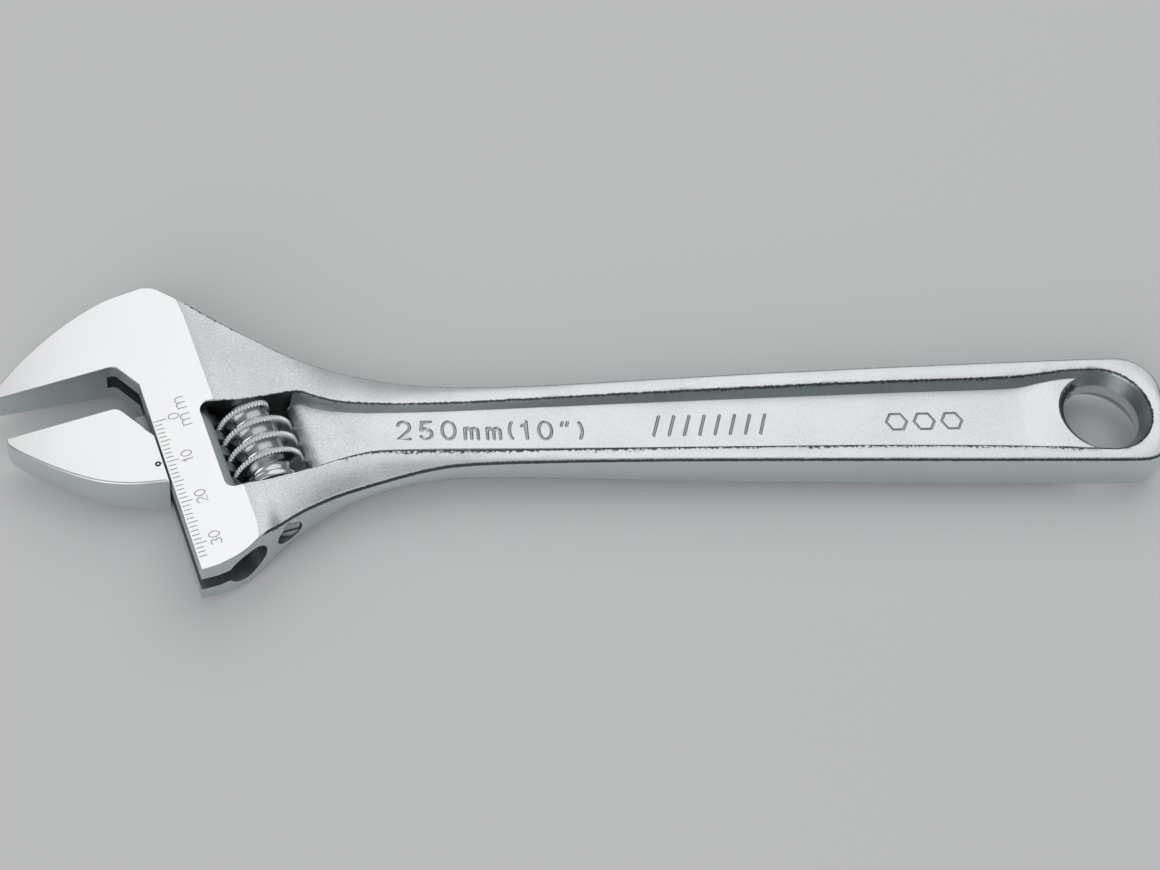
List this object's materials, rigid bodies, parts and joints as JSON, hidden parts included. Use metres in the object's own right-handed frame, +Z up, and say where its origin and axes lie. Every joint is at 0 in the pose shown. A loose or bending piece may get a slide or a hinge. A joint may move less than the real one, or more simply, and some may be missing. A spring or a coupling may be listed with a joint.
{
  "type": "adjustable wrench",
  "caption": "Adjustable wrench: forged body with a fixed jaw, a movable jaw that a worm slides, a graduated head and a hanging hole.",
  "frame": {"origin": "bottom centre of the object's box, with the wrench lying flat", "axes": "+X along the handle from the jaws to the hanging hole, +Y towards the fixed jaw's back, +Z up through the thickness"},
  "size_m": [0.2492, 0.0688, 0.0156],
  "materials": {
    "forged_chrome": "satin chrome plate over a fine pebbled forging, with the jaw head ground and polished",
    "polished_chrome": "polished chrome plate",
    "worm_steel": "bright turned steel with knurled thread crests",
    "pin_steel": "turned steel",
    "spring_steel": "drawn spring wire"
  },
  "bodies": {
    "forging": {"body": "forged_chrome", "worm_pin": "pin_steel", "worm_spring": "spring_steel"},
    "jaw": {"movable_jaw": "polished_chrome"},
    "worm": {"adjusting_worm": "worm_steel"}
  },
  "joints": [
    {"name": "jaw_slide", "type": "slide", "parent": "forging", "child": "jaw", "axis": [0.2588, -0.9659, 0], "range_m": [-0.0099, 0.02]},
    {"name": "worm_turn", "type": "hinge", "parent": "forging", "child": "worm", "pos_m": [-0.07164, -0.00324, 0.0078], "axis": [0.2588, -0.9659, 0], "range_deg": [-1801, 892]}
  ],
  "couplings": [
    {"joint": "worm_turn", "follows": "jaw_slide", "rad_per_m": -1570.8}
  ]
}
